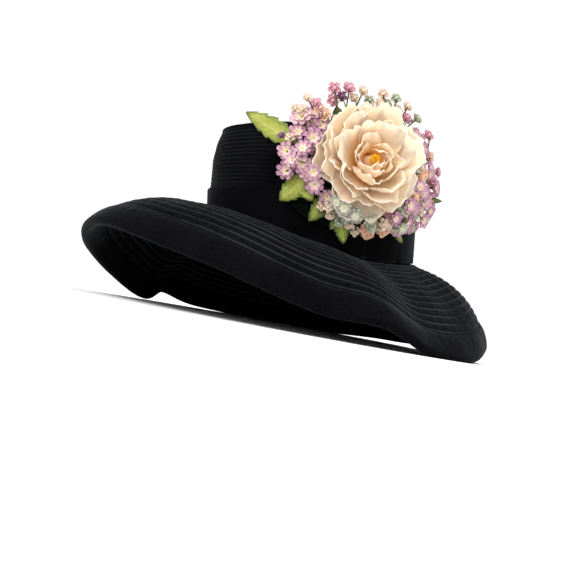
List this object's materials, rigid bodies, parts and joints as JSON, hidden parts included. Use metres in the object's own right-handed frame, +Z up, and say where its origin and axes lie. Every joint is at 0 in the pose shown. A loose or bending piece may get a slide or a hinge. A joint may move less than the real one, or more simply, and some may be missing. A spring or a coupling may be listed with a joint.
{
  "type": "wide-brim hat",
  "caption": "Black velvet wide-brim hat with a row-stitched crown and brim, a padded brim edge and a corsage of a cream peony, lilac blossoms, buds and leaves.",
  "frame": {"origin": "middle of the footprint of the hat, on the surface that its brim rests on", "axes": "+Z up, -Y towards the hat's front, +X towards the wearer's left, all as the hat rests"},
  "size_m": [0.3346, 0.3674, 0.1938],
  "materials": {
    "velvet": "black velvet with a soft grey sheen, stitched in rows",
    "velvet_binding": "smooth padded black velvet edge",
    "pad": "dark green cloth",
    "petal": "cream silk shaded with peach",
    "stamen": "golden thread",
    "lilac": "lilac cloth petals, dark purple at their edges",
    "sage": "pale blue-green cloth petals",
    "bud": "pink, cream and lilac cloth buds on wired stems",
    "rosette": "peach cloth",
    "leaf": "stiffened yellow-green cloth, darker at the foot and tip"
  },
  "bodies": {
    "root": {"crown_tip": "velvet", "crown_side": "velvet", "hat_band": "velvet", "brim": "velvet", "brim_binding": "velvet_binding", "corsage_pad": "pad", "peony_core": "petal", "peony_stamens": "stamen", "petal_guard_1": "petal", "petal_guard_2": "petal", "petal_guard_3": "petal", "petal_guard_4": "petal", "petal_guard_5": "petal", "petal_middle_1": "petal", "petal_middle_2": "petal", "petal_middle_3": "petal", "petal_middle_4": "petal", "petal_middle_5": "petal", "petal_inner_1": "petal", "petal_inner_2": "petal", "petal_inner_3": "petal", "petal_inner_4": "petal", "petal_heart_1": "petal", "petal_heart_2": "petal", "petal_heart_3": "petal", "lilac_1": "lilac", "lilac_2": "lilac", "lilac_3": "lilac", "lilac_4": "lilac", "lilac_5": "lilac", "lilac_6": "lilac", "lilac_7": "lilac", "lilac_8": "lilac", "lilac_9": "lilac", "lilac_10": "lilac", "lilac_11": "lilac", "lilac_12": "lilac", "lilac_13": "lilac", "sage_1": "sage", "sage_2": "sage", "spray_left": "bud", "spray_upper_left": "bud", "spray_top_left": "bud", "spray_top_right": "bud", "spray_right": "bud", "spray_low_left": "bud", "spray_low_middle": "rosette", "spray_low_right": "bud", "leaf_1": "leaf", "leaf_2": "leaf", "leaf_3": "leaf", "leaf_4": "leaf", "leaf_5": "leaf"}
  },
  "joints": []
}
